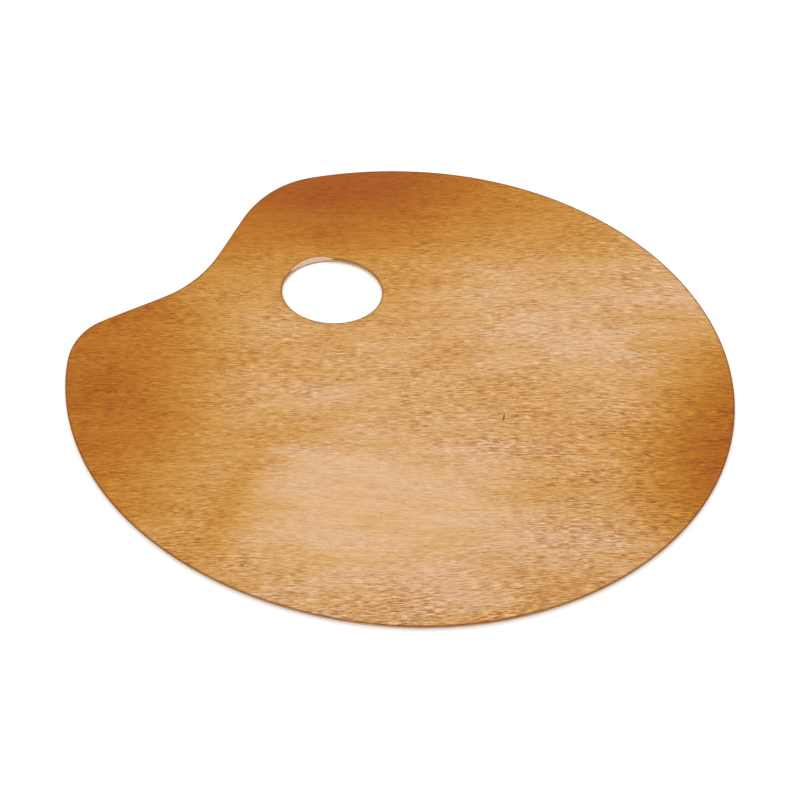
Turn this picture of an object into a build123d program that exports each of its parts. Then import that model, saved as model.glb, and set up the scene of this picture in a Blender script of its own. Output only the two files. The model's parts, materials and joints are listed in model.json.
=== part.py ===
"""Painter's mixing palette: an oval plywood board with a finger notch and a bevelled thumb hole.

Three veneers and two glue lines make the board. Every layer is sawn to the same oval, with the
same finger notch, thumb hole and bevel, so the layers meet in one straight edge. The arrises
of the two outer veneers are sanded round.

The board is drawn on the oval's own axes, with the oval's widest place at the origin. It is
then turned and moved into its frame: millimetres, +Z up, origin at the middle of the board's
box, on its underside. +X runs along the board and along the grain of the face and back
veneers. +Y points to the side with the thumb hole. The core veneer's grain runs along Y.
"""

from build123d import *

import math
import os

# The oval, two half ellipses that meet where it is widest
PALETTE_LENGTH = 400.0
PALETTE_WIDTH = 300.0
BROAD_END = 194.0  # from the widest place to the end away from the notch
OVAL_TILT = -4.5  # its long axis from the grain, in degrees

# The layers
FACE_VENEER = 0.7
CORE_VENEER = 1.4
BACK_VENEER = 0.7
GLUE_LINE = 0.1

# The sanded arrises
OUTLINE_ARRIS = 0.5
HOLE_ARRIS = 0.4
ARRIS_SHARE = 0.8  # a rounding takes no more than this share of its veneer's thickness

# The finger notch, a wide V with straight flanks, a round bottom and both of its corners eased
NOTCH_PLACE = 143.0  # the angle round the narrow half ellipse that the notch points square into
NOTCH_DEPTH = 44.0  # from the oval to the sharp V's bottom
SHOULDER_FLANK = 68.0  # the upper flank from the notch's axis, in degrees
HEEL_FLANK = 75.0  # the lower flank from the notch's axis, in degrees
NOTCH_RADIUS = 70.0
SHOULDER_RADIUS = 60.0
HEEL_RADIUS = 32.0

# The thumb hole, an ellipse with its long axis along the oval's
HOLE_LENGTH = 62.0
HOLE_WIDTH = 44.5
GRIP_WEB = 51.0  # the wood between the sharp V's bottom and the hole
GRIP_HEADING = 0.5  # from the notch to the hole's centre, in degrees from the oval's long axis

# The bevel on the notch side of the hole, cut with a cone that stands in the hole
BEVEL_LIP = 0.5  # the wall that it leaves standing above the underside
BEVEL_SLOPE = 45.0  # from upright, in degrees
BEVEL_RADIUS = 22.0  # the cone's radius on the mixing face
BEVEL_PLACE = 117.0  # the angle round the hole's ellipse where the bevel is widest

CUTTER_OVERRUN = 2.0  # how far every cutter stands out of the board

LAYERS_FROM_THE_UNDERSIDE = [
    ("back_veneer", BACK_VENEER),
    ("lower_glue_line", GLUE_LINE),
    ("core_veneer", CORE_VENEER),
    ("upper_glue_line", GLUE_LINE),
    ("face_veneer", FACE_VENEER),
]
BOARD_THICKNESS = sum(thickness for name, thickness in LAYERS_FROM_THE_UNDERSIDE)


def heading(angle: float) -> Vector:
    """The direction at an angle in degrees from the oval's long axis."""
    return Vector(math.cos(math.radians(angle)), math.sin(math.radians(angle)))


def on_ellipse(half_length: float, half_width: float, place: float) -> tuple:
    """The point at an angle round an ellipse, in degrees, and the direction square outward there."""
    toward = heading(place)
    point = Vector(half_length * toward.X, half_width * toward.Y)
    return point, Vector(half_width * toward.X, half_length * toward.Y).normalized()


def oval_sheet(thickness: float) -> Part:
    """A sheet sawn to the oval."""
    half_width = PALETTE_WIDTH / 2
    broad = EllipticalCenterArc((0, 0), BROAD_END, half_width, -90, arc_size=180)
    narrow = EllipticalCenterArc((0, 0), PALETTE_LENGTH - BROAD_END, half_width, 90, arc_size=180)
    return extrude(Face(Wire([broad, narrow])), thickness)


def notch_bottom() -> Vector:
    """The bottom of the sharp V."""
    edge, outward = on_ellipse(PALETTE_LENGTH - BROAD_END, PALETTE_WIDTH / 2, NOTCH_PLACE)
    return edge - outward * NOTCH_DEPTH


def flank(turn: float) -> Vector:
    """From the notch's bottom up one flank, to the height of the oval where the notch is deepest."""
    outward = on_ellipse(PALETTE_LENGTH - BROAD_END, PALETTE_WIDTH / 2, NOTCH_PLACE)[1]
    return outward.rotate(Axis.Z, turn) * (NOTCH_DEPTH / math.cos(math.radians(turn)))


def eased(sheet: Part, near: Vector, radius: float) -> Part:
    """The sheet with the upright corner that is nearest to a point rounded."""
    upright = sheet.edges().group_by(Axis.Z)[1]
    return fillet(min(upright, key=lambda edge: (edge.center() - near).length), radius)


def notched_sheet(thickness: float) -> Part:
    """The oval with the V cut out of it and its shoulder, heel and bottom eased."""
    bottom = notch_bottom()
    shoulder, heel = flank(-SHOULDER_FLANK), flank(HEEL_FLANK)
    wedge = Polygon(bottom, bottom + shoulder * 2, bottom + heel * 2, align=None)
    sheet = oval_sheet(thickness) - extrude(wedge, thickness)
    sheet = eased(sheet, bottom + shoulder, SHOULDER_RADIUS)
    sheet = eased(sheet, bottom + heel, HEEL_RADIUS)
    return eased(sheet, bottom, NOTCH_RADIUS)


def hole_place() -> Pos:
    """The thumb hole's centre, a hand's grip away from the notch."""
    return Pos(notch_bottom() + heading(GRIP_HEADING) * (GRIP_WEB + HOLE_LENGTH / 2))


def thumb_hole_cutter() -> Part:
    """The straight-walled ellipse of the thumb hole."""
    ellipse = Ellipse(HOLE_LENGTH / 2, HOLE_WIDTH / 2)
    column = extrude(ellipse, BOARD_THICKNESS + 2 * CUTTER_OVERRUN)
    return hole_place() * Pos(0, 0, -CUTTER_OVERRUN) * column


def bevel_cutter() -> Part:
    """The cone that bevels the hole on the notch side.

    At BEVEL_PLACE its slope leaves the hole's wall at the height BEVEL_LIP and opens the
    mixing face by its reach. To each side it runs out, because its radius is the smaller.
    """
    wall, outward = on_ellipse(HOLE_LENGTH / 2, HOLE_WIDTH / 2, BEVEL_PLACE)
    spread = math.tan(math.radians(BEVEL_SLOPE))
    reach = (BOARD_THICKNESS - BEVEL_LIP) * spread
    cone = Cone(
        BEVEL_RADIUS - BOARD_THICKNESS * spread,
        BEVEL_RADIUS + CUTTER_OVERRUN * spread,
        BOARD_THICKNESS + CUTTER_OVERRUN,
        align=(Align.CENTER, Align.CENTER, Align.MIN),
    )
    return hole_place() * Pos(wall + outward * (reach - BEVEL_RADIUS)) * cone


def sanded(veneer: Part, side: int, thickness: float) -> Part:
    """The outer veneer with its arrises rounded, on the underside for side 0 and on the face for -1."""
    limit = ARRIS_SHARE * thickness
    outer_rim = veneer.faces().sort_by(Axis.Z)[side].outer_wire().edges()
    veneer = fillet(outer_rim, min(OUTLINE_ARRIS, limit))
    hole_rim = veneer.faces().sort_by(Axis.Z)[side].inner_wires()[0].edges()
    return fillet(hole_rim, min(HOLE_ARRIS, limit))


def layer(bottom: float, thickness: float) -> Part:
    """One layer of the board on the oval's own axes, from the height bottom up."""
    blank = Pos(0, 0, bottom) * notched_sheet(thickness) - thumb_hole_cutter()
    if bottom == 0:
        blank = sanded(blank, 0, thickness)
    if math.isclose(bottom + thickness, BOARD_THICKNESS):
        blank = sanded(blank, -1, thickness)
    return blank - bevel_cutter()


def board_frame() -> Location:
    """Turns the oval to the grain and brings the middle of its box to the origin."""
    turn = Rot(0, 0, OVAL_TILT)
    middle = (turn * notched_sheet(BOARD_THICKNESS)).bounding_box().center()
    return Pos(-middle.X, -middle.Y, 0) * turn


def main() -> None:
    """Writes one STEP file for each layer."""
    os.makedirs("parts", exist_ok=True)
    frame = board_frame()
    bottom = 0.0
    for name, thickness in LAYERS_FROM_THE_UNDERSIDE:
        export_step(frame * layer(bottom, thickness), f"parts/{name}.step")
        bottom += thickness


main()
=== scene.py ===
"""Finishes a painter's mixing palette around its frame.

The frame gives the board's outline, its thumb hole and its layers. This file remakes each
layer as a fine closed mesh with rounded arrises, open grain and a sanded edge, and gives the
face, the core, the glue and the back their finishes. Lengths are in millimetres until a mesh
is made, because a joiner thinks in them.
"""

import json
import logging
import math
from dataclasses import dataclass, field
from enum import Enum
from typing import ClassVar

import bpy
import numpy as np
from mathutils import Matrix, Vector, geometry


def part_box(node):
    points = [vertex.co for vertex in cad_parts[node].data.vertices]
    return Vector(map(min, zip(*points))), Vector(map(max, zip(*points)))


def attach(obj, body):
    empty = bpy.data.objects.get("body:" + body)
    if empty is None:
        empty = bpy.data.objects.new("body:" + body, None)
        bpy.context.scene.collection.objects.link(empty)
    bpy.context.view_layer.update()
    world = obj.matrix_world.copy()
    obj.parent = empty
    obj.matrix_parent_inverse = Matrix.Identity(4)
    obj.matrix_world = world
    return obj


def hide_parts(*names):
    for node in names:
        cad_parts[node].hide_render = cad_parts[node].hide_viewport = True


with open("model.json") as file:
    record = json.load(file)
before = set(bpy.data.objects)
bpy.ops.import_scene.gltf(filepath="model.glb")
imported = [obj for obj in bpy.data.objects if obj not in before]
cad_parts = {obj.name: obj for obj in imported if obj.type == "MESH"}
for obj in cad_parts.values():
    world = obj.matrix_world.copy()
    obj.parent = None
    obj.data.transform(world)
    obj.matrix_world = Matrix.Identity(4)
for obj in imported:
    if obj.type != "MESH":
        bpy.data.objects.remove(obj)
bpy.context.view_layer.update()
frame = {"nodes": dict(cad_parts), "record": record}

log = logging.getLogger("palette")
MM = 0.001


def paint(red: float, green: float, blue: float) -> tuple[float, float, float, float]:
    """A display colour as linear light.

    Args:
        red: The red channel, 0 to 255.
        green: The green channel, 0 to 255.
        blue: The blue channel, 0 to 255.

    Returns:
        The linear colour with full alpha.
    """
    channels = [value / 255.0 for value in (red, green, blue)]
    linear = [c / 12.92 if c <= 0.04045 else ((c + 0.055) / 1.055) ** 2.4 for c in channels]
    return (*linear, 1.0)


def smoothstep(values: np.ndarray, low: float, high: float) -> np.ndarray:
    """Zero below low, one above high, and a soft rise between them."""
    share = np.clip((values - low) / (high - low), 0.0, 1.0)
    return share * share * (3.0 - 2.0 * share)


# ---- The board's plan: its outline and its thumb hole ----


class ClosedCurve:
    """A smooth closed curve through points in the plane, in millimetres."""

    def __init__(self, points: np.ndarray) -> None:
        """Fits a periodic cubic with chord-length spacing.

        Args:
            points: The points in order, one row each.
        """
        self.points = points
        self.steps = np.linalg.norm(np.roll(points, -1, axis=0) - points, axis=1)
        self.knots = np.concatenate([[0.0], np.cumsum(self.steps)])
        self.bends = self._second_derivatives()

    def _second_derivatives(self) -> np.ndarray:
        """The curve's second derivative at each point.

        Returns:
            The second derivatives, one row each.
        """
        count = len(self.points)
        before = np.roll(self.steps, 1)
        eye = np.eye(count)
        matrix = (
            2.0 * np.diag(before + self.steps)
            + self.steps[:, None] * np.roll(eye, 1, axis=1)
            + before[:, None] * np.roll(eye, -1, axis=1)
        )
        slope = (np.roll(self.points, -1, axis=0) - self.points) / self.steps[:, None]
        return np.linalg.solve(matrix, 6.0 * (slope - np.roll(slope, 1, axis=0)))

    def at(self, places: np.ndarray) -> np.ndarray:
        """The curve's points at the given chord-length places.

        Args:
            places: Places along the chords, which wrap round.

        Returns:
            The points, one row each.
        """
        places = np.mod(places, self.knots[-1])
        index = np.searchsorted(self.knots, places, side="right") - 1
        index = np.clip(index, 0, len(self.steps) - 1)
        after = (index + 1) % len(self.points)
        step = self.steps[index]
        ahead = (self.knots[index + 1] - places) / step
        behind = 1.0 - ahead
        bend = (ahead**3 - ahead) * step**2 / 6.0
        bend_after = (behind**3 - behind) * step**2 / 6.0
        return (
            ahead[:, None] * self.points[index]
            + behind[:, None] * self.points[after]
            + bend[:, None] * self.bends[index]
            + bend_after[:, None] * self.bends[after]
        )

    def even_points(self, count: int) -> np.ndarray:
        """Points that divide the curve's length evenly.

        Args:
            count: How many points.

        Returns:
            The points, one row each.
        """
        fine_places = np.linspace(0.0, self.knots[-1], 20 * count + 1)
        fine = self.at(fine_places)
        run = np.concatenate([[0.0], np.cumsum(np.linalg.norm(np.diff(fine, axis=0), axis=1))])
        wanted = np.linspace(0.0, run[-1], count, endpoint=False)
        return self.at(np.interp(wanted, run, fine_places))


@dataclass
class Outline:
    """The board's sawn outline, read from the core veneer's straight edge."""

    node: str = "core_veneer"
    count: int = 1400
    hole_reach: float = 45.0
    least_gap: float = 0.05
    points: np.ndarray = field(init=False)
    outward: np.ndarray = field(init=False)

    def __post_init__(self) -> None:
        """Reads the node's upper rim and smooths it."""
        corners = node_points(self.node)
        rim = corners[np.isclose(corners[:, 2], corners[:, 2].max(), atol=1e-3)][:, :2]
        outer = rim[np.linalg.norm(rim - hole_mount(), axis=1) > self.hole_reach]
        outer = np.unique(outer.round(3), axis=0)
        outer = outer[np.argsort(np.arctan2(outer[:, 1], outer[:, 0]))]
        gaps = np.linalg.norm(np.roll(outer, -1, axis=0) - outer, axis=1)
        outer = outer[gaps > self.least_gap]
        self.points = ClosedCurve(outer).even_points(self.count)
        along = np.roll(self.points, -1, axis=0) - np.roll(self.points, 1, axis=0)
        along /= np.linalg.norm(along, axis=1)[:, None]
        self.outward = np.column_stack([along[:, 1], -along[:, 0]])

    def loop(self, inset: np.ndarray | float) -> np.ndarray:
        """The outline drawn in by inset, a single value or one for each point."""
        return self.points - self.outward * np.broadcast_to(inset, (self.count,))[:, None]


@dataclass
class ThumbHole:
    """The oval thumb hole with the bevel that eases the hand, read from the back veneer."""

    node: str = "back_veneer"
    arris: float = 0.4
    reach: float = 40.0
    bevel_lip: float = 0.5
    bevel_slope: float = 45.0
    bevel_radius: float = 22.0
    bevel_place: float = 117.0
    blend: float = 0.12
    count: int = 420
    centre: np.ndarray = field(init=False)
    half_length: float = field(init=False)
    half_width: float = field(init=False)
    turn: float = field(init=False)
    cone_centre: np.ndarray = field(init=False)
    board_top: float = field(init=False)

    def __post_init__(self) -> None:
        """Fits the oval to the upright wall, just above the lower arris."""
        corners = node_points(self.node)
        on_wall = np.isclose(corners[:, 2], self.arris, atol=1e-3)
        near = np.linalg.norm(corners[:, :2] - hole_mount(), axis=1) < self.reach
        wall = np.unique(corners[on_wall & near][:, :2].round(4), axis=0)
        self._fit(wall)
        self.board_top = node_points("face_veneer")[:, 2].max()
        angle = math.radians(self.bevel_place)
        place = np.array([self.half_length * math.cos(angle), self.half_width * math.sin(angle)])
        outward = np.array([self.half_width * math.cos(angle), self.half_length * math.sin(angle)])
        outward /= np.linalg.norm(outward)
        opening = (self.board_top - self.bevel_lip) * math.tan(math.radians(self.bevel_slope))
        self.cone_centre = place + outward * (opening - self.bevel_radius)

    def _fit(self, wall: np.ndarray) -> None:
        """Finds the ellipse through the wall's points.

        Args:
            wall: Points on the hole's wall, one row each.
        """
        middle = wall.mean(axis=0)
        x, y = (wall - middle).T
        terms = np.column_stack([x * x, x * y, y * y, x, y])
        a, b, c, d, e = np.linalg.lstsq(terms, np.ones(len(x)), rcond=None)[0]
        offset = np.linalg.solve([[2 * a, b], [b, 2 * c]], [-d, -e])
        scale = 1.0 + a * offset[0] ** 2 + b * offset[0] * offset[1] + c * offset[1] ** 2
        values, axes = np.linalg.eigh(np.array([[a, b / 2], [b / 2, c]]) / scale)
        self.centre = middle + offset
        self.half_length, self.half_width = 1.0 / np.sqrt(values)
        long_axis = axes[:, 0] * np.sign(axes[0, 0])
        self.turn = math.atan2(long_axis[1], long_axis[0])

    def radius(self, headings: np.ndarray, height: float, flare: float) -> np.ndarray:
        """How far the wall stands from the hole's centre.

        Args:
            headings: Directions from the centre, from the oval's long axis, in radians.
            height: The height above the underside.
            flare: How far a rounded arris opens the oval at that height.

        Returns:
            The wall's distance for each heading, with the bevel blended in.
        """
        length, width = self.half_length + flare, self.half_width + flare
        across, up = np.cos(headings), np.sin(headings)
        oval = length * width / np.hypot(width * across, length * up)
        spread = math.tan(math.radians(self.bevel_slope))
        cone = self.bevel_radius - (self.board_top - height) * spread
        facing = self.cone_centre[0] * across + self.cone_centre[1] * up
        bevel = facing + np.sqrt(facing**2 - self.cone_centre @ self.cone_centre + cone**2)
        return 0.5 * (oval + bevel + np.sqrt((oval - bevel) ** 2 + self.blend**2)) - self.blend / 2

    def headings(self) -> np.ndarray:
        """The directions of the loop's points, in radians from the long axis."""
        return np.linspace(0.0, 2.0 * math.pi, self.count, endpoint=False)

    def loop(self, height: float, flare: float, beyond: float = 0.0) -> np.ndarray:
        """The hole's rim at a height, anticlockwise points in the board's plane.

        Args:
            height: The height above the underside.
            flare: How far a rounded arris opens the oval there.
            beyond: How far outside the rim the points lie.

        Returns:
            The points, one row each.
        """
        headings = self.headings()
        radius = self.radius(headings, height, flare) + beyond
        turned = headings + self.turn
        return self.centre + radius[:, None] * np.column_stack([np.cos(turned), np.sin(turned)])

    def bared(self, height: float, flare: float) -> np.ndarray:
        """From 0 to 1, how far the bevel has cut past the oval at each heading.

        Args:
            height: The height above the underside.
            flare: How far a rounded arris opens the oval there.

        Returns:
            The share for each heading.
        """
        headings = self.headings()
        length, width = self.half_length + flare, self.half_width + flare
        oval = length * width / np.hypot(width * np.cos(headings), length * np.sin(headings))
        return smoothstep(self.radius(headings, height, flare) - oval, 0.05, 0.35)


def node_points(name: str) -> np.ndarray:
    """A CAD node's corners in millimetres, one row each.

    Args:
        name: The node's name.

    Returns:
        The corners.
    """
    vertices = frame["nodes"][name].data.vertices
    flat = np.empty(3 * len(vertices))
    vertices.foreach_get("co", flat)
    return flat.reshape(-1, 3) / MM


def hole_mount() -> np.ndarray:
    """The place of the thumb hole's mount in the board's plane, in millimetres."""
    mount = next(m for m in frame["record"]["mounts"] if m["name"] == "thumb_hole")
    return np.array(mount["pos_m"][:2]) / MM


# ---- The wood's pattern, and the face's painted sheen ----


class Weave:
    """A soft random field over the board, stretched along the grain."""

    STEP_ALONG = 1.0
    STEP_ACROSS = 0.4
    LENGTH = 480.0
    WIDTH = 360.0

    def __init__(self, seed: int, along: float, across: float) -> None:
        """Blurs seeded noise by the given lengths.

        Args:
            seed: Picks the field.
            along: The blur's length along the grain, in millimetres.
            across: The blur's length across it, in millimetres.
        """
        shape = (round(self.WIDTH / self.STEP_ACROSS), round(self.LENGTH / self.STEP_ALONG))
        noise = np.random.default_rng(seed).standard_normal(shape)
        wave_across = np.fft.fftfreq(shape[0], self.STEP_ACROSS)[:, None]
        wave_along = np.fft.fftfreq(shape[1], self.STEP_ALONG)[None, :]
        blur = np.exp(-2.0 * math.pi**2 * ((wave_across * across) ** 2 + (wave_along * along) ** 2))
        field_values = np.fft.ifft2(np.fft.fft2(noise) * blur).real
        self.values = (field_values - field_values.mean()) / field_values.std()

    def at(self, x: np.ndarray, y: np.ndarray) -> np.ndarray:
        """The field at points in millimetres, with a spread of one about zero.

        Args:
            x: Places along the grain.
            y: Places across it.

        Returns:
            The field's values.
        """
        rows, columns = self.values.shape
        u = (x + self.LENGTH / 2) / self.STEP_ALONG
        v = (y + self.WIDTH / 2) / self.STEP_ACROSS
        u0, v0 = np.floor(u).astype(int), np.floor(v).astype(int)
        fu, fv = u - u0, v - v0
        u0, v0, u1, v1 = u0 % columns, v0 % rows, (u0 + 1) % columns, (v0 + 1) % rows
        low = self.values[v0, u0] * (1 - fu) + self.values[v0, u1] * fu
        high = self.values[v1, u0] * (1 - fu) + self.values[v1, u1] * fu
        return low * (1 - fv) + high * fv


@dataclass(frozen=True)
class Pool:
    """A soft place that raises or lowers a field: the grain's strength, or the tone, where it
    stands for deeper or thinner varnish and, on the face, partly for a painted sheen.

    Attributes:
        centre: Its middle, in millimetres.
        spread: How far it reaches along and across the board, in millimetres.
        depth: What it adds to the tone, from -1 to 1.
        firmness: 1 for a soft margin, more for one with a clearer edge.
        turn: Its long axis from the grain, in degrees.
    """

    centre: tuple[float, float]
    spread: tuple[float, float]
    depth: float
    firmness: float = 1.0
    turn: float = 0.0

    def at(self, x: np.ndarray, y: np.ndarray) -> np.ndarray:
        """What the pool adds at points in millimetres.

        Args:
            x: Places along the grain.
            y: Places across it.

        Returns:
            The amounts.
        """
        away_x, away_y = x - self.centre[0], y - self.centre[1]
        cosine, sine = math.cos(math.radians(self.turn)), math.sin(math.radians(self.turn))
        along = (away_x * cosine + away_y * sine) / self.spread[0]
        across = (away_y * cosine - away_x * sine) / self.spread[1]
        return self.depth * np.exp(-((along**2 + across**2) ** self.firmness))


@dataclass
class WoodField:
    """Where one face of the board is dark or pale, and how open its grain is.

    Attributes:
        seed: Picks the random fields.
        base_tone: The tone away from every pool.
        varnish_and_sheen_pools: Places that change the tone: deeper or thinner varnish and, on the
            face, a painted sheen, the pale reflection of a broad light.
        base_grain: How strong the grain is away from every coarse place.
        coarse: Places that change the strength of the grain.
        groove: The deepest open grain, in millimetres.
    """

    seed: int
    base_tone: float
    varnish_and_sheen_pools: list[Pool]
    base_grain: float
    coarse: list[Pool]
    groove: float = 0.05
    wander: Weave = field(init=False)
    ripple: Weave = field(init=False)
    pores: Weave = field(init=False)
    strands: Weave = field(init=False)

    def __post_init__(self) -> None:
        """Draws the random fields."""
        self.wander = Weave(self.seed, 55.0, 30.0)
        self.ripple = Weave(self.seed + 1, 26.0, 5.0)
        self.pores = Weave(self.seed + 2, 2.6, 0.5)
        self.strands = Weave(self.seed + 3, 11.0, 0.75)

    def drift(self, x: np.ndarray, y: np.ndarray) -> np.ndarray:
        """How far the grain has wandered across the board, in millimetres."""
        sag = 0.12 * 60.0 * smoothstep(x, 90.0, 210.0) * smoothstep(y, -20.0, 80.0)
        return 2.2 * self.wander.at(x, y) + sag

    def tone(self, x: np.ndarray, y: np.ndarray) -> np.ndarray:
        """The depth of the amber, from 0, pale, to 1 and a little over, dark; on the face it is
        partly a painted sheen, pale where a broad light's reflection is painted in.
        """
        total = self.base_tone + sum(pool.at(x, y) for pool in self.varnish_and_sheen_pools)
        return np.clip(total + 0.035 * self.ripple.at(x, y + self.drift(x, y)), 0.0, 1.3)

    def grain(self, x: np.ndarray, y: np.ndarray) -> np.ndarray:
        """The strength of the grain, from 0 to 1."""
        return np.clip(self.base_grain + sum(place.at(x, y) for place in self.coarse), 0.0, 1.0)

    def hollow(self, x: np.ndarray, y: np.ndarray) -> np.ndarray:
        """How deep the open grain is, from 0 to 1 of the groove.

        Args:
            x: Places along the grain.
            y: Places across it.

        Returns:
            The depths.
        """
        across = y + self.drift(x, y)
        pores = smoothstep(self.pores.at(x, across), 0.3, 2.2)
        strands = smoothstep(self.strands.at(x, across), 0.4, 2.4)
        return np.clip(0.75 * pores + 0.55 * strands, 0.0, 1.0) * (0.35 + 0.65 * self.grain(x, y))


# ---- Meshes ----


@dataclass(frozen=True)
class Ring:
    """One level of a layer's edge.

    Attributes:
        height: Its height above the underside, in millimetres.
        inset: How far the outline is drawn in there.
        flare: How far the thumb hole is opened there.
        burnish: How dark the edge is painted there, from 0 to 1.
        beyond: How far onto the face it lies from both rims.
    """

    height: float
    inset: float
    flare: float
    burnish: float
    beyond: float = 0.0


def eased_by(depth: float, radius: float) -> float:
    """How far a quarter-round arris has drawn in at a depth below its face.

    Args:
        depth: The depth, in millimetres.
        radius: The arris's radius, in millimetres.

    Returns:
        The distance, which is zero below the arris.
    """
    if depth >= radius:
        return 0.0
    return radius - math.sqrt(radius**2 - (radius - depth) ** 2)


def crossings(loop: np.ndarray, y: float) -> np.ndarray:
    """Where a closed loop crosses a line across the board.

    Args:
        loop: The loop's points, one row each.
        y: The line's place.

    Returns:
        The crossings' places along the board, in order.
    """
    after = np.roll(loop, -1, axis=0)
    passes = (loop[:, 1] > y) != (after[:, 1] > y)
    start, end = loop[passes], after[passes]
    share = (y - start[:, 1]) / (end[:, 1] - start[:, 1])
    return np.sort(start[:, 0] + share * (end[:, 0] - start[:, 0]))


def inside(loop: np.ndarray, points: np.ndarray) -> np.ndarray:
    """Which points lie inside a closed loop.

    Args:
        loop: The loop's points, one row each.
        points: The points to test, one row each.

    Returns:
        True for each point that lies inside.
    """
    after = np.roll(loop, -1, axis=0)
    result = np.zeros(len(points), dtype=bool)
    for start, end in zip(loop, after):
        passes = (start[1] > points[:, 1]) != (end[1] > points[:, 1])
        if passes.any():
            share = (points[passes, 1] - start[1]) / (end[1] - start[1])
            result[passes] ^= points[passes, 0] < start[0] + share * (end[0] - start[0])
    return result


class FlatFace:
    """A flat face of a layer between its outline and its thumb hole, cut into triangles."""

    MARGIN = 0.55  # from either rim to the nearest inner point
    REACH = 210.0  # past either end of the board

    def __init__(
        self, outer: np.ndarray, hole: np.ndarray, row: float | None, column: float
    ) -> None:
        """Spreads points over the face and joins them.

        Args:
            outer: The outline's points.
            hole: The hole's points.
            row: The spacing across the grain, or None for the two loops alone.
            column: The spacing along the grain.
        """
        self.outer, self.hole = outer, hole
        inner = self._grid(row, column) if row else np.empty((0, 2))
        self.points = np.vstack([outer, hole, inner])
        self.triangles = self._join(len(outer), len(hole))

    def _grid(self, row: float, column: float) -> np.ndarray:
        """Points in rows along the grain, every second row shifted by half a step.

        Args:
            row: The spacing across the grain.
            column: The spacing along the grain.

        Returns:
            The points, one row each.
        """
        outer = self.outer + self.MARGIN * self._inward(self.outer)
        hole = self.hole - self.MARGIN * self._inward(self.hole)
        rows = []
        lowest, highest = outer[:, 1].min() + row, outer[:, 1].max() - row
        for index, y in enumerate(np.arange(lowest, highest, row)):
            xs = np.arange(-self.REACH + column / 2 * (index % 2), self.REACH, column)
            for loop, wanted in ((outer, 1), (hole, 0)):
                xs = xs[np.searchsorted(crossings(loop, y), xs) % 2 == wanted]
            rows.append(np.column_stack([xs, np.full(len(xs), y)]))
        return np.vstack(rows)

    @staticmethod
    def _inward(loop: np.ndarray) -> np.ndarray:
        """The direction to the left of travel at each point of an anticlockwise loop.

        Args:
            loop: The loop's points, one row each.

        Returns:
            The directions, one row each.
        """
        along = np.roll(loop, -1, axis=0) - np.roll(loop, 1, axis=0)
        along /= np.linalg.norm(along, axis=1)[:, None]
        return np.column_stack([-along[:, 1], along[:, 0]])

    def _join(self, outer_count: int, hole_count: int) -> np.ndarray:
        """The triangles on the board, without those in the hole and beyond the notch.

        Args:
            outer_count: How many points the outline has.
            hole_count: How many points the hole has.

        Returns:
            The triangles, one row each, anticlockwise from above.
        """
        ring = np.arange(outer_count)
        bore = outer_count + np.arange(hole_count)
        edges = [*zip(ring, np.roll(ring, -1)), *zip(bore, np.roll(bore, -1))]
        edges = [(int(start), int(end)) for start, end in edges]
        places = [Vector((x, y)) for x, y in self.points.tolist()]
        found = geometry.delaunay_2d_cdt(places, edges, [], 0, 1e-7)
        original = np.array([origins[0] for origins in found[3]])
        triangles = original[np.array(found[2])]
        on_rims = (triangles < outer_count + hole_count).all(axis=1)
        middles = self.points[triangles[on_rims]].mean(axis=1)
        keep = np.ones(len(triangles), dtype=bool)
        keep[on_rims] = inside(self.outer, middles) & ~inside(self.hole, middles)
        triangles = triangles[keep]
        a, b, c = (self.points[triangles[:, corner]] for corner in range(3))
        turn = (b - a)[:, 0] * (c - a)[:, 1] - (b - a)[:, 1] * (c - a)[:, 0]
        triangles[turn < 0] = triangles[turn < 0][:, ::-1]
        return triangles


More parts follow.
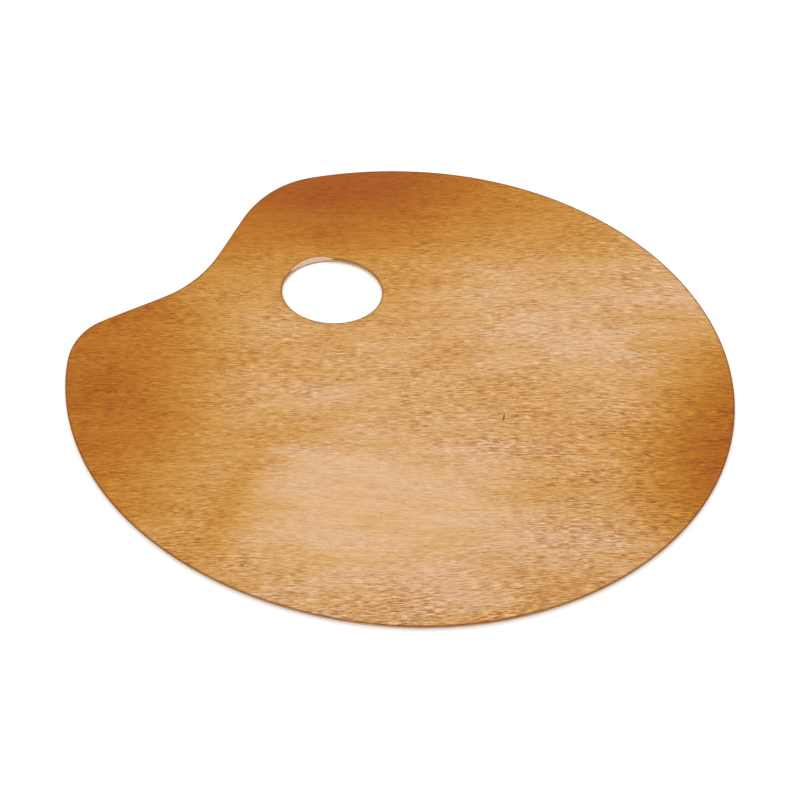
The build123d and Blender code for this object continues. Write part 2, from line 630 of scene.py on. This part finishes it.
@dataclass
class Layer:
    """One layer of the board, as a closed mesh.

    Attributes:
        node: The CAD node that it stands for.
        name: The piece's name.
        slot: The record's material slot; not used.
        outline: The board's outline.
        hole: The thumb hole.
        wood: Where the layer's wood is dark and coarse.
        wear: How far sanding has drawn in each point of the outline, in millimetres.
    """

    SHARP: ClassVar[float] = 38.0  # an edge that turns by more degrees than this looks sharp

    node: str
    name: str
    slot: str
    outline: Outline
    hole: ThumbHole
    wood: WoodField
    wear: np.ndarray
    bottom: float = field(init=False)
    top: float = field(init=False)

    def __post_init__(self) -> None:
        """Reads the layer's two faces from the frame."""
        low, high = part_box(self.node)
        self.bottom, self.top = low[2] / MM, high[2] / MM

    def rings(self) -> list[Ring]:
        """The levels of the layer's edge, from its underside up."""
        return [Ring(self.bottom, 0.0, 0.0, 0.3), Ring(self.top, 0.0, 0.0, 0.3)]

    def spacing(self, upward: bool) -> tuple[float | None, float]:
        """The spacing of a face's points across and along the grain, None where it is hidden."""
        return None, 0.0

    def relief(self, points: np.ndarray) -> np.ndarray:
        """How far the open grain sinks a visible face, in millimetres."""
        return self.wood.groove * self.wood.hollow(points[:, 0], points[:, 1])

    def roughness(self, ring: Ring) -> np.ndarray:
        """How far one level of the edge is drawn in further at each point of the outline."""
        return np.zeros(self.outline.count)

    def _walls(self, levels: int, rim: int) -> np.ndarray:
        """The quads between one level of the edge and the next.

        Args:
            levels: How many levels the edge has.
            rim: How many points one level has.

        Returns:
            The quads, one row each, facing out of the wood.
        """
        quads = []
        for level in range(levels - 1):
            for start, size, outward in (
                (0, self.outline.count, True),
                (self.outline.count, self.hole.count, False),
            ):
                here = level * rim + start + np.arange(size)
                there = level * rim + start + np.roll(np.arange(size), -1)
                quad = [here, there, there + rim, here + rim]
                quads.append(np.column_stack(quad if outward else quad[::-1]))
        return np.vstack(quads)

    def _inner(self, cap: FlatFace, rim: int, upward: bool) -> np.ndarray:
        """A face's inner points, sunk by the open grain.

        Args:
            cap: The face.
            rim: How many of its points lie on the two rims.
            upward: Whether it is the layer's upper face.

        Returns:
            The points, one row each.
        """
        flat = cap.points[rim:]
        height = np.full(len(flat), self.top if upward else self.bottom)
        if len(flat):
            height += (-1.0 if upward else 1.0) * self.relief(flat)
        return np.column_stack([flat, height])

    def _carry(self, mesh: bpy.types.Mesh, points: np.ndarray, **known: np.ndarray) -> None:
        """Writes what the finish needs at each point onto the mesh.

        Args:
            mesh: The mesh.
            points: Its points, one row each.
            known: Numbers that are worked out already.
        """
        x, y = points[:, 0], points[:, 1]
        for name in ("tone", "grain", "hollow", "drift"):
            known[name] = getattr(self.wood, name)(x, y)
        for name, numbers in known.items():
            mesh.attributes.new(name, "FLOAT", "POINT").data.foreach_set("value", numbers)

    def build(self) -> bpy.types.Object:
        """Makes the closed mesh with its attributes.

        Returns:
            The piece.
        """
        rings = self.rings()
        rim = self.outline.count + self.hole.count
        loops = []
        for ring in rings:
            inset = ring.inset + ring.beyond + self.wear + self.roughness(ring)
            bore = self.hole.loop(ring.height, ring.flare, ring.beyond)
            loops.append((self.outline.loop(inset), bore))
        levels = zip(rings, loops)
        places = [np.column_stack([np.vstack(pair), np.full(rim, r.height)]) for r, pair in levels]
        no_bevel = np.zeros(self.outline.count)
        burnish = [np.full(rim, ring.burnish) for ring in rings]
        bare = [np.concatenate([no_bevel, self.bareness(ring)]) for ring in rings]
        polygons = self._walls(len(rings), rim).tolist()
        total = len(rings) * rim
        for pair, upward in ((loops[0], False), (loops[-1], True)):
            cap = FlatFace(*pair, *self.spacing(upward))
            inner = self._inner(cap, rim, upward)
            first = (len(rings) - 1) * rim if upward else 0
            on_rim = cap.triangles < rim
            index = np.where(on_rim, cap.triangles + first, cap.triangles - rim + total)
            polygons += (index if upward else index[:, ::-1]).tolist()
            places.append(inner)
            burnish.append(np.zeros(len(inner)))
            bare.append(np.zeros(len(inner)))
            total += len(inner)
        points = np.vstack(places)
        mesh = bpy.data.meshes.new(self.name)
        mesh.from_pydata((points * MM).tolist(), [], polygons)
        self._carry(mesh, points, burnish=np.concatenate(burnish), bare=np.concatenate(bare))
        mesh.shade_smooth()
        mesh.set_sharp_from_angle(angle=math.radians(self.SHARP))
        piece = bpy.data.objects.new(self.name, mesh)
        bpy.context.scene.collection.objects.link(piece)
        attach(piece, "root")
        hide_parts(self.node)
        return piece

    def bareness(self, ring: Ring) -> np.ndarray:
        """Where the bevel has cut through the finish, at each point of the hole."""
        return self.hole.bared(ring.height, ring.flare)

    def dress(self, piece: bpy.types.Object, finish: "Finish") -> None:
        """Gives the piece its finish and reports it."""
        piece.data.materials.append(finish.material())
        log.info("%s: %d faces, %s", self.name, len(piece.data.polygons), finish.name)


class OuterVeneer(Layer):
    """A veneer with one rounded arris, inside a narrow flat band."""

    OUTLINE_ARRIS = 0.5
    HOLE_ARRIS = 0.4
    RIM_BAND = 0.55
    DEPTHS = (0.5, 0.34, 0.2, 0.1, 0.035, 0.0)  # of the arris's levels, below the face

    def arris(self, face: float, into: float, darkest: float, band: float) -> list[Ring]:
        """The rounded arris and its flat band, from the straight edge to the face.

        Args:
            face: The height of the face.
            into: -1 for a face on top, 1 for one below.
            darkest: How dark the edge is painted at the face.
            band: How dark the flat band is painted.

        Returns:
            The levels.
        """
        levels = [
            Ring(
                face + into * depth,
                eased_by(depth, self.OUTLINE_ARRIS),
                eased_by(depth, self.HOLE_ARRIS),
                darkest - 0.9 * depth,
            )
            for depth in self.DEPTHS
        ]
        flat = Ring(face, self.OUTLINE_ARRIS, self.HOLE_ARRIS, band, self.RIM_BAND)
        return [*levels, flat]


class FaceVeneer(OuterVeneer):
    """The varnished veneer that paint is mixed on."""

    def rings(self) -> list[Ring]:
        """The straight edge, the rounded arris and the band."""
        return [Ring(self.bottom, 0.0, 0.0, 0.35), *self.arris(self.top, -1.0, 1.0, 0.12)]

    def bareness(self, ring: Ring) -> np.ndarray:
        """The bevel is bare up to its upper arris, and the face beyond it is varnished."""
        return super().bareness(ring) * (0.0 if ring.height > self.top - 0.02 else 1.0)

    def spacing(self, upward: bool) -> tuple[float | None, float]:
        """Fine on the mixing face, which shows."""
        return (0.6, 2.0) if upward else (None, 0.0)


class CoreVeneer(Layer):
    """The thick middle veneer, whose sawn edge shows all round."""

    FUZZ = 0.03

    def rings(self) -> list[Ring]:
        """Five levels, so that the sawn edge is a little uneven."""
        return [Ring(height, 0.0, 0.0, 0.0) for height in np.linspace(self.bottom, self.top, 5)]

    def roughness(self, ring: Ring) -> np.ndarray:
        """Sawn fibres stand and sink by a few hundredths.

        Args:
            ring: The level.

        Returns:
            How far each point of the outline is drawn in, in millimetres.
        """
        draw = np.random.default_rng(round(ring.height * 1000))
        noise = draw.standard_normal(self.outline.count)
        noise = (noise + np.roll(noise, 1) + np.roll(noise, -1)) / 3.0
        return self.FUZZ * np.clip(np.abs(noise), 0.0, 1.5)


class GlueLine(Layer):
    """A thin line of resin, sanded a little below the veneers."""

    SINK = 0.05

    def roughness(self, ring: Ring) -> np.ndarray:
        """The sink, the same all round."""
        return np.full(self.outline.count, self.SINK)


class BackVeneer(OuterVeneer):
    """The underside, with the same rounding as the face."""

    def rings(self) -> list[Ring]:
        """The band, the rounded arris and the straight edge."""
        return [*self.arris(self.bottom, 1.0, 0.8, 0.1)[::-1], Ring(self.top, 0.0, 0.0, 0.2)]

    def spacing(self, upward: bool) -> tuple[float | None, float]:
        """Fairly fine on the underside, which shows when the board is turned over."""
        return (None, 0.0) if upward else (0.85, 2.4)


# ---- Finishes ----

Socket = bpy.types.NodeSocket


class Bench:
    """A material's nodes, laid out by short calls."""

    def __init__(self, name: str) -> None:
        """Starts a material with a Principled shader.

        Args:
            name: The material's name.
        """
        self.material = bpy.data.materials.new(name)
        self.material.use_nodes = True
        self.tree = self.material.node_tree
        self.shader = self.tree.nodes["Principled BSDF"]
        self.place = self._node("ShaderNodeTexCoord").outputs["Object"]

    def _node(self, kind: str) -> bpy.types.Node:
        """A new node of a kind."""
        return self.tree.nodes.new(kind)

    def _feed(self, socket: Socket, value: "Socket | float | tuple") -> None:
        """Links a socket, or sets its number or colour.

        Args:
            socket: The socket.
            value: What it gets.
        """
        if isinstance(value, bpy.types.NodeSocket):
            self.tree.links.new(value, socket)
        else:
            socket.default_value = value

    def attribute(self, name: str) -> Socket:
        """A number that the mesh carries at each point.

        Args:
            name: The attribute's name.

        Returns:
            The number.
        """
        node = self._node("ShaderNodeAttribute")
        node.attribute_name = name
        return node.outputs["Fac"]

    def math(
        self, operation: str, first: "Socket | float", second: "Socket | float" = 0.0
    ) -> Socket:
        """One step of arithmetic.

        Args:
            operation: The Math node's operation.
            first: The first value.
            second: The second value.

        Returns:
            The result.
        """
        node = self._node("ShaderNodeMath")
        node.operation = operation
        self._feed(node.inputs[0], first)
        self._feed(node.inputs[1], second)
        return node.outputs[0]

    def total(self, *values: "Socket | float") -> Socket:
        """The sum of several values.

        Args:
            values: The values.

        Returns:
            The sum.
        """
        result = values[0]
        for value in values[1:]:
            result = self.math("ADD", result, value)
        return result

    def spread(
        self, value: Socket, low: float, high: float, to_low: float, to_high: float
    ) -> Socket:
        """A value carried smoothly from one range to another, and held at its ends.

        Args:
            value: The value.
            low: Where the first range starts.
            high: Where the first range ends.
            to_low: Where the second range starts.
            to_high: Where the second range ends.

        Returns:
            The value in the second range.
        """
        node = self._node("ShaderNodeMapRange")
        node.interpolation_type = "SMOOTHSTEP"
        for index, number in enumerate((low, high, to_low, to_high), start=1):
            node.inputs[index].default_value = number
        self._feed(node.inputs[0], value)
        return node.outputs[0]

    def grained(
        self, lengths: tuple[float, float, float], drift: "Socket | None" = None
    ) -> Socket:
        """The place in the wood, counted in strands of the given lengths in millimetres.

        Args:
            lengths: A strand's length along X, Y and Z.
            drift: How far the grain has wandered across the board, in millimetres.

        Returns:
            The coordinates for a noise.
        """
        place = self.place
        if drift is not None:
            shift = self._node("ShaderNodeCombineXYZ")
            self._feed(shift.inputs[1], self.math("MULTIPLY", drift, MM))
            place = self.vector("ADD", place, shift.outputs[0])
        return self.vector("MULTIPLY", place, tuple(1.0 / (MM * length) for length in lengths))

    def vector(self, operation: str, first: Socket, second: "Socket | tuple") -> Socket:
        """One step of vector arithmetic.

        Args:
            operation: The Vector Math node's operation.
            first: The first vector.
            second: The second vector.

        Returns:
            The result.
        """
        node = self._node("ShaderNodeVectorMath")
        node.operation = operation
        self._feed(node.inputs[0], first)
        self._feed(node.inputs[1], second)
        return node.outputs[0]

    def turned(self, place: Socket, turn: float) -> Socket:
        """A place turned back about the upright axis by so many degrees.

        Args:
            place: The place.
            turn: The angle, in degrees.

        Returns:
            The turned place.
        """
        node = self._node("ShaderNodeVectorRotate")
        node.rotation_type = "Z_AXIS"
        node.inputs["Angle"].default_value = -math.radians(turn)
        self._feed(node.inputs["Vector"], place)
        return node.outputs[0]

    def length(self, place: Socket) -> Socket:
        """How far a place is from the origin.

        Args:
            place: The place.

        Returns:
            The distance.
        """
        node = self._node("ShaderNodeVectorMath")
        node.operation = "LENGTH"
        self._feed(node.inputs[0], place)
        return node.outputs["Value"]

    def noise(self, place: Socket, detail: float = 2.0, roughness: float = 0.55) -> Socket:
        """Smooth noise about a half.

        Args:
            place: Where the noise is read.
            detail: How many finer layers it has.
            roughness: How strong the finer layers are.

        Returns:
            The noise.
        """
        node = self._node("ShaderNodeTexNoise")
        node.inputs["Scale"].default_value = 1.0
        node.inputs["Detail"].default_value = detail
        node.inputs["Roughness"].default_value = roughness
        self._feed(node.inputs["Vector"], place)
        return node.outputs["Fac"]

    def through(self, varnish: tuple, depth: Socket) -> Socket:
        """What a depth of varnish lets through, its tint raised to that depth.

        Args:
            varnish: What one full depth lets through.
            depth: The depth.

        Returns:
            The colour let through.
        """
        node = self._node("ShaderNodeGamma")
        self._feed(node.inputs["Color"], varnish)
        self._feed(node.inputs["Gamma"], depth)
        return node.outputs["Color"]

    def mix(
        self,
        share: "Socket | float",
        first: "Socket | tuple",
        second: "Socket | tuple",
        way: str = "MIX",
    ) -> Socket:
        """Two colours mixed.

        Args:
            share: How much of the second.
            first: The first colour.
            second: The second colour.
            way: The blend type.

        Returns:
            The mixed colour.
        """
        node = self._node("ShaderNodeMix")
        node.data_type, node.blend_type = "RGBA", way
        self._feed(node.inputs[0], share)
        self._feed(node.inputs[6], first)
        self._feed(node.inputs[7], second)
        return node.outputs[2]

    def bump(self, height: Socket, strength: float, distance: float) -> None:
        """Puts a relief on the shader.

        Args:
            height: The relief.
            strength: How strongly it shows.
            distance: How high it stands, in metres.
        """
        node = self._node("ShaderNodeBump")
        node.inputs["Strength"].default_value = strength
        node.inputs["Distance"].default_value = distance
        self._feed(node.inputs["Height"], height)
        self._feed(self.shader.inputs["Normal"], node.outputs[0])

    def give(self, **values: "Socket | float | tuple") -> None:
        """Feeds the shader's inputs by name, with _ for a space."""
        for name, value in values.items():
            self._feed(self.shader.inputs[name.replace("_", " ")], value)


class Grain(Enum):
    """Which way a veneer's strands run."""

    LENGTHWISE = (1.0, 0.0)
    CROSSWISE = (0.0, 1.0)


@dataclass(frozen=True)
class Finish:
    """A finish with a name.

    Attributes:
        name: What the finish is called.
    """

    name: str

    def material(self) -> bpy.types.Material:
        """The finish as a material."""
        raise NotImplementedError


@dataclass(frozen=True)
class Knock:
    """A small dark knock in the face.

    Attributes:
        centre: Its middle, in millimetres.
        length: Its length, in millimetres.
        half_width: Half its width, in millimetres.
        turn: Its direction from the grain, in degrees.
    """

    centre: tuple[float, float]
    length: float
    half_width: float
    turn: float

    def shown(self, bench: Bench) -> Socket:
        """How much it shows at each place.

        Args:
            bench: The material's nodes.

        Returns:
            The share of the knock's colour.
        """
        near = bench.vector("ADD", bench.place, (-self.centre[0] * MM, -self.centre[1] * MM, 0.0))
        shape = (2.0 / (self.length * MM), 1.0 / (self.half_width * MM), 0.0)
        away = bench.length(bench.vector("MULTIPLY", bench.turned(near, self.turn), shape))
        return bench.spread(away, 0.4, 1.0, 0.9, 0.0)


@dataclass(frozen=True)
class VarnishedVeneer(Finish):
    """Open-grained hardwood under amber varnish.

    Attributes:
        wood: The wood under the thinnest varnish.
        varnish: What one full depth of varnish lets through.
        strand: The dark strands' colour, multiplied into the wood.
        gleam: The light strands' colour, mixed into the wood.
        edge: The dark colour painted on the arris and the edge.
        raw: The bare wood of the bevel.
        strength: How strongly the strands show.
        sheen: The coat's weight.
        roughness: The varnish's roughness.
        knocks: Small dark knocks.
    """

    wood: tuple
    varnish: tuple
    strand: tuple
    gleam: tuple
    edge: tuple
    raw: tuple
    strength: float
    sheen: float
    roughness: float
    knocks: tuple[Knock, ...] = ()

    def material(self) -> bpy.types.Material:
        """The veneer's material.

        Returns:
            The material.
        """
        bench = Bench(self.name)
        drift = bench.attribute("drift")
        grain = bench.attribute("grain")
        broad = bench.noise(bench.grained((70.0, 26.0, 26.0), drift), 2.0)
        streak = bench.noise(bench.grained((48.0, 1.4, 3.0), drift), 3.0, 0.6)
        dash = bench.noise(bench.grained((6.5, 0.7, 3.0), drift), 2.0, 0.6)
        short = bench.noise(bench.grained((3.2, 0.45, 2.0), drift), 2.0, 0.6)
        fibre = bench.noise(bench.grained((12.0, 0.3, 1.0), drift), 1.0)
        cloud = bench.noise(bench.grained((24.0, 7.0, 7.0), drift), 2.0)
        pore = bench.noise(bench.grained((1.6, 0.7, 1.0), drift), 0.0)
        burnish, bare = bench.attribute("burnish"), bench.attribute("bare")

        patch = bench.spread(cloud, 0.35, 0.65, 0.65, 1.15)
        strength = bench.math("MULTIPLY", bench.spread(grain, 0.0, 1.0, 0.2, self.strength), patch)
        dark = bench.total(
            bench.spread(dash, 0.42, 0.62, 0.0, 0.7), bench.spread(short, 0.45, 0.65, 0.0, 0.45)
        )
        dark = bench.math("MINIMUM", bench.math("MULTIPLY", dark, strength), 1.0)
        light = bench.total(
            bench.spread(dash, 0.48, 0.34, 0.0, 0.7), bench.spread(streak, 0.5, 0.66, 0.0, 0.5)
        )
        light = bench.math("MINIMUM", bench.math("MULTIPLY", light, strength), 1.0)
        wood = bench.mix(light, self.wood, self.gleam)
        wood = bench.mix(dark, wood, self.strand, "MULTIPLY")
        wood = bench.mix(bench.spread(pore, 0.7, 0.78, 0.0, 0.35), wood, self.strand, "MULTIPLY")

        # The tone attribute sets the varnish's depth; on the face it also carries a painted sheen,
        # a broad light's pale reflection painted into the colour.
        depth = bench.total(
            bench.attribute("tone"),
            bench.spread(broad, 0.3, 0.7, -0.05, 0.05),
            bench.spread(streak, 0.3, 0.7, 0.05, -0.05),
            bench.math("MULTIPLY", dark, 0.12),
            bench.math("MULTIPLY", bench.attribute("hollow"), 0.2),
        )
        seen = bench.through(self.varnish, bench.math("MAXIMUM", depth, 0.0))
        wood = bench.mix(1.0, wood, seen, "MULTIPLY")
        for knock in self.knocks:
            wood = bench.mix(knock.shown(bench), wood, self.edge)
        # Darker on the board's edge and arris, most at the top of the arris.
        wood = bench.mix(bench.math("MULTIPLY", burnish, 0.85), wood, self.edge)
        fresh = bench.spread(short, 0.4, 0.7, 0.0, 0.45)
        wood = bench.mix(bare, wood, bench.mix(fresh, self.raw, self.gleam, "MULTIPLY"))

        rough = bench.total(
            bench.spread(broad, 0.3, 0.7, -0.05, 0.06),
            self.roughness,
            bench.math("MULTIPLY", dark, 0.12),
            bench.math("MULTIPLY", bare, 0.25),
        )
        relief = bench.math("SUBTRACT", bench.math("MULTIPLY", fibre, 0.3), dark)
        bench.bump(relief, 0.25, 0.00006)
        coat = bench.math("MULTIPLY", bench.math("SUBTRACT", 1.0, bare), self.sheen)
        bench.give(Base_Color=wood, Roughness=rough, Coat_Weight=coat)
        bench.give(Coat_Roughness=0.25, Specular_IOR_Level=0.1)
        return bench.material


@dataclass(frozen=True)
class SawnVeneer(Finish):
    """Sawn and sanded wood at the board's edge, solid all through.

    Attributes:
        pale: Its early wood.
        deep: Its late wood.
        raw: The bare wood of the bevel.
        grain: Which way the strands run.
    """

    pale: tuple
    deep: tuple
    raw: tuple
    grain: Grain

    def material(self) -> bpy.types.Material:
        """The sawn wood's material.

        Returns:
            The material.
        """
        bench = Bench(self.name)
        along, across = self.grain.value
        lengths = (0.5 + 11.0 * along, 0.5 + 11.0 * across, 0.35)
        strands = bench.noise(bench.grained(lengths), 3.0, 0.6)
        rings = bench.noise(bench.grained((9.0, 9.0, 0.8)), 2.0)
        share = bench.total(
            bench.spread(strands, 0.35, 0.7, 0.0, 0.7), bench.spread(rings, 0.4, 0.7, 0.0, 0.3)
        )
        wood = bench.mix(share, self.pale, self.deep)
        wood = bench.mix(bench.math("MULTIPLY", bench.attribute("bare"), 0.7), wood, self.raw)
        bench.bump(strands, 0.3, 0.00008)
        rough = bench.spread(strands, 0.3, 0.7, 0.55, 0.68)
        bench.give(Base_Color=wood, Roughness=rough, IOR=1.46)
        return bench.material


@dataclass(frozen=True)
class Resin(Finish):
    """Cured brown glue.

    Attributes:
        thin: Where it is thin.
        thick: Where it is thick.
    """

    thin: tuple
    thick: tuple

    def material(self) -> bpy.types.Material:
        """The glue's material.

        Returns:
            The material.
        """
        bench = Bench(self.name)
        blobs = bench.noise(bench.grained((3.0, 3.0, 0.4)), 3.0)
        colour = bench.mix(bench.spread(blobs, 0.35, 0.65, 0.0, 1.0), self.thin, self.thick)
        bench.bump(blobs, 0.2, 0.00005)
        bench.give(Base_Color=colour, Roughness=bench.spread(blobs, 0.3, 0.7, 0.4, 0.55), IOR=1.5)
        return bench.material


@dataclass(frozen=True)
class PaleFloor(Finish):
    """The studio's white floor.

    Attributes:
        colour: Its colour.
    """

    colour: tuple

    def material(self) -> bpy.types.Material:
        """The floor's material, with a faint unevenness.

        Returns:
            The material.
        """
        bench = Bench(self.name)
        cloud = bench.noise(bench.grained((90.0, 90.0, 90.0)), 2.0)
        bench.give(Base_Color=self.colour, Roughness=bench.spread(cloud, 0.3, 0.7, 0.85, 0.95))
        return bench.material


PALE_WOOD = paint(210, 170, 130)
AMBER_VARNISH = (0.6, 0.3, 0.02, 1.0)

FACE_FINISH = VarnishedVeneer(
    name="amber_varnish",
    wood=PALE_WOOD,
    varnish=AMBER_VARNISH,
    strand=paint(185, 140, 95),
    gleam=paint(230, 195, 155),
    edge=paint(118, 66, 24),
    raw=paint(226, 196, 170),
    strength=0.85,
    sheen=0.08,
    roughness=0.5,
    knocks=(Knock((62.0, -22.0), 7.0, 0.8, 80.0), Knock((145.0, -46.0), 9.0, 0.7, -25.0)),
)
BACK_FINISH = VarnishedVeneer(
    name="thin_varnish",
    wood=PALE_WOOD,
    varnish=AMBER_VARNISH,
    strand=paint(186, 146, 110),
    gleam=paint(226, 192, 150),
    edge=paint(130, 80, 36),
    raw=paint(222, 194, 168),
    strength=0.9,
    sheen=0.15,
    roughness=0.55,
)
CORE_FINISH = SawnVeneer(
    name="sawn_core",
    pale=paint(206, 166, 122),
    deep=paint(168, 118, 72),
    raw=paint(220, 188, 160),
    grain=Grain.CROSSWISE,
)
GLUE_FINISH = Resin("cured_resin", paint(128, 82, 46), paint(84, 50, 26))
FLOOR_FINISH = PaleFloor("studio_floor", paint(252, 252, 252))

FACE_WOOD = WoodField(
    seed=41,
    base_tone=0.1,
    # The face's tone is partly real varnish depth and partly painted sheen: the pale middle and
    # lower centre are a broad light's reflection painted into the colour, and the darker places at
    # the upper left, the left lobe and the right edge lie outside that painted sheen.
    varnish_and_sheen_pools=[
        Pool((-65.0, 155.0), (115.0, 60.0), 1.4),
        Pool((-205.0, 30.0), (80.0, 120.0), 0.75, firmness=1.6),
        Pool((210.0, -50.0), (60.0, 75.0), 0.9, firmness=1.4),
        Pool((-140.0, -70.0), (60.0, 70.0), 0.2),
        # Painted sheen: the palest place, a broad light's reflection painted into the colour.
        Pool((-10.0, -90.0), (95.0, 62.0), -0.12, firmness=1.6),
        Pool((110.0, 45.0), (80.0, 50.0), -0.12),
        Pool((-98.0, -75.0), (40.0, 9.0), 0.2, turn=65.0),
        Pool((60.0, 135.0), (110.0, 50.0), 0.2),
    ],
    base_grain=0.6,
    coarse=[
        Pool((110.0, -70.0), (80.0, 60.0), 0.3),
        Pool((0.0, -150.0), (150.0, 40.0), 0.35),
        # Fainter grain, in colour and relief, under the painted sheen at the lower centre.
        Pool((-5.0, -85.0), (85.0, 45.0), -0.5, firmness=2.0),
        Pool((-70.0, 140.0), (120.0, 50.0), -0.3),
    ],
)
BACK_WOOD = WoodField(
    seed=73,
    base_tone=0.35,
    varnish_and_sheen_pools=[Pool((-120.0, -40.0), (90.0, 90.0), 0.15), Pool((110.0, 60.0), (90.0, 70.0), 0.12)],
    base_grain=0.6,
    coarse=[Pool((40.0, 0.0), (120.0, 60.0), 0.15)],
)


# ---- The board ----


@dataclass
class Board:
    """The whole palette: five layers that share one outline and one thumb hole.

    Attributes:
        waver: How far hand sanding wanders from the outline, in millimetres.
        seed: Picks where it wanders.
    """

    waver: float = 0.05
    seed: int = 12

    def layers(self) -> "list[tuple[Layer, Finish]]":
        """The layers from the underside up, each with its finish.

        Returns:
            Pairs of a layer and its finish.
        """
        outline, hole = Outline(), ThumbHole()
        shared = {"outline": outline, "hole": hole, "wear": self._wear(outline.count)}
        plan = (
            (BackVeneer, "back_veneer", "back_veneer", "varnished_back", BACK_WOOD, BACK_FINISH),
            (GlueLine, "lower_glue_line", "lower_glue", "glue", BACK_WOOD, GLUE_FINISH),
            (CoreVeneer, "core_veneer", "core_veneer", "core_wood", BACK_WOOD, CORE_FINISH),
            (GlueLine, "upper_glue_line", "upper_glue", "glue", BACK_WOOD, GLUE_FINISH),
            (FaceVeneer, "face_veneer", "face_veneer", "varnished_face", FACE_WOOD, FACE_FINISH),
        )
        return [
            (kind(node, f"{name}_finished", slot, wood=wood, **shared), finish)
            for kind, node, name, slot, wood, finish in plan
        ]

    def _wear(self, count: int) -> np.ndarray:
        """A slow waver round the outline, always inward.

        Args:
            count: How many points the outline has.

        Returns:
            The waver at each point, in millimetres.
        """
        draw = np.random.default_rng(self.seed)
        turn = np.linspace(0.0, 2.0 * math.pi, count, endpoint=False)
        waves = sum(np.sin(n * turn + draw.uniform(0.0, 6.28)) / n for n in (7, 13, 22, 35))
        return self.waver * (waves - waves.min()) / (waves.max() - waves.min())

    def build(self) -> None:
        """Builds and dresses every layer."""
        for layer, finish in self.layers():
            layer.dress(layer.build(), finish)


# ---- The studio ----


@dataclass(frozen=True)
class Lamp:
    """A large soft light that faces the board.

    Attributes:
        name: Its name.
        place: Where it hangs, in metres.
        size: Its side, in metres.
        power: Its power, in watts.
    """

    name: str
    place: tuple[float, float, float]
    size: float
    power: float

    def hang(self) -> None:
        """Puts the light in the scene."""
        lamp = bpy.data.lights.new(self.name, "AREA")
        lamp.shape, lamp.size, lamp.energy = "SQUARE", self.size, self.power
        place_in_scene(self.name, lamp, Vector(self.place), -Vector(self.place))


def place_in_scene(
    name: str, data: bpy.types.ID, place: Vector, toward: Vector
) -> bpy.types.Object:
    """Puts a light or a camera at a place, facing a direction.

    Args:
        name: Its name.
        data: The light or the camera.
        place: Where it goes, in metres.
        toward: The direction that it faces.

    Returns:
        The object that holds it.
    """
    holder = bpy.data.objects.new(name, data)
    holder.location = place
    holder.rotation_euler = toward.to_track_quat("-Z", "Y").to_euler()
    bpy.context.scene.collection.objects.link(holder)
    return holder


@dataclass
class Studio:
    """The floor, the lights and the camera.

    Attributes:
        elevation: The camera's height above the board, in degrees.
        distance: From the camera to what it looks at, in metres.
        look_at: What the camera looks at.
        field_of_view: The camera's field of view, in degrees.
        floor_size: The floor's side, in metres.
        floor_drop: How far the floor lies under the board, in metres.
        surround: The strength of the white surround.
        lamps: The soft lights.
    """

    elevation: float = 65.0
    distance: float = 0.957
    look_at: tuple[float, float, float] = (0.0006, -0.0093, 0.0)
    field_of_view: float = 28.0
    floor_size: float = 12.0
    floor_drop: float = 0.0002
    surround: float = 0.95
    lamps: tuple[Lamp, ...] = (
        Lamp("window", (0.1, 0.9, 1.5), 1.4, 9.0),
        Lamp("fill", (-0.9, -0.7, 1.6), 1.6, 4.0),
    )

    def floor(self) -> None:
        """A wide pale floor just under the board."""
        half = self.floor_size / 2
        corners = [(-half, -half), (half, -half), (half, half), (-half, half)]
        mesh = bpy.data.meshes.new("floor")
        mesh.from_pydata([(x, y, -self.floor_drop) for x, y in corners], [], [(0, 1, 2, 3)])
        piece = bpy.data.objects.new("floor", mesh)
        bpy.context.scene.collection.objects.link(piece)
        mesh.materials.append(FLOOR_FINISH.material())

    def sky(self) -> None:
        """An even white surround."""
        world = bpy.data.worlds.new("surround")
        world.use_nodes = True
        background = world.node_tree.nodes["Background"]
        background.inputs["Color"].default_value = (1.0, 1.0, 1.0, 1.0)
        background.inputs["Strength"].default_value = self.surround
        bpy.context.scene.world = world

    def camera(self) -> None:
        """The camera, looking down at the board from its near side."""
        lens = bpy.data.cameras.new("camera")
        lens.sensor_width = 36.0
        lens.lens = lens.sensor_width / 2 / math.tan(math.radians(self.field_of_view / 2))
        rise = math.radians(self.elevation)
        away = Vector((0.0, -math.cos(rise), math.sin(rise)))
        place = Vector(self.look_at) + away * self.distance
        bpy.context.scene.camera = place_in_scene("camera", lens, place, -away)

    def set_up(self) -> None:
        """Builds the studio."""
        self.floor()
        self.sky()
        for lamp in self.lamps:
            lamp.hang()
        self.camera()
        bpy.context.scene.view_settings.view_transform = "Standard"
        log.info("studio: floor, two soft lights and the camera")


def main() -> None:
    """Builds the palette and the studio."""
    logging.basicConfig(level=logging.INFO, format="%(message)s")
    Board().build()
    Studio().set_up()


if __name__ == "__main__":
    main()
